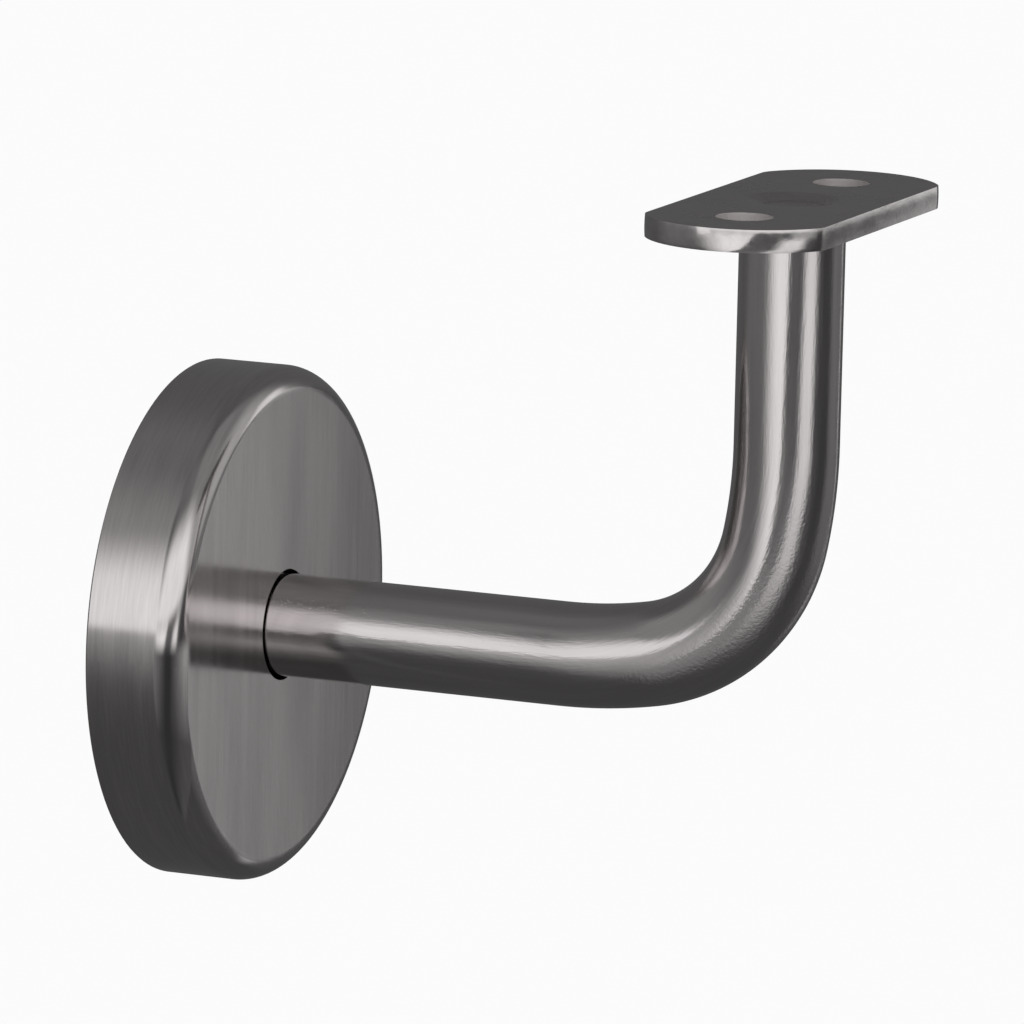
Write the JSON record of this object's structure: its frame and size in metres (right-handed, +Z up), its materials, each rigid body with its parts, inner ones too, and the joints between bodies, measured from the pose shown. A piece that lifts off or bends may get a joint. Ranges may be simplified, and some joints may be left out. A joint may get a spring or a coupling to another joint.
{
  "type": "handrail bracket",
  "caption": "Wall bracket for a handrail: a bent round steel arm with a flat saddle plate for the rail, a wall flange with screw holes, and a round cover that slides along the arm.",
  "frame": {"origin": "centre of the wall flange's back face, which lies on the wall", "axes": "+X out of the wall along the arm, +Y along the handrail, +Z up towards the rail"},
  "size_m": [0.0975, 0.07, 0.0987],
  "materials": {
    "flange_steel": "mill finish, dull",
    "weld_steel": "as welded, cleaned",
    "arm_steel": "fine satin ground, dark",
    "plate_steel": "smooth satin with brightly polished edges",
    "cover_steel": "brushed, with straight grain on the face and grain around the rim"
  },
  "bodies": {
    "bracket": {"wall_flange": "flange_steel", "flange_weld": "weld_steel", "support_arm": "arm_steel", "saddle_plate": "plate_steel"},
    "cover": {"cover_rosette": "cover_steel"}
  },
  "joints": [
    {"name": "cover_slide", "type": "slide", "parent": "bracket", "child": "cover", "axis": [1, 0, 0], "range_m": [0, 0.04]}
  ]
}
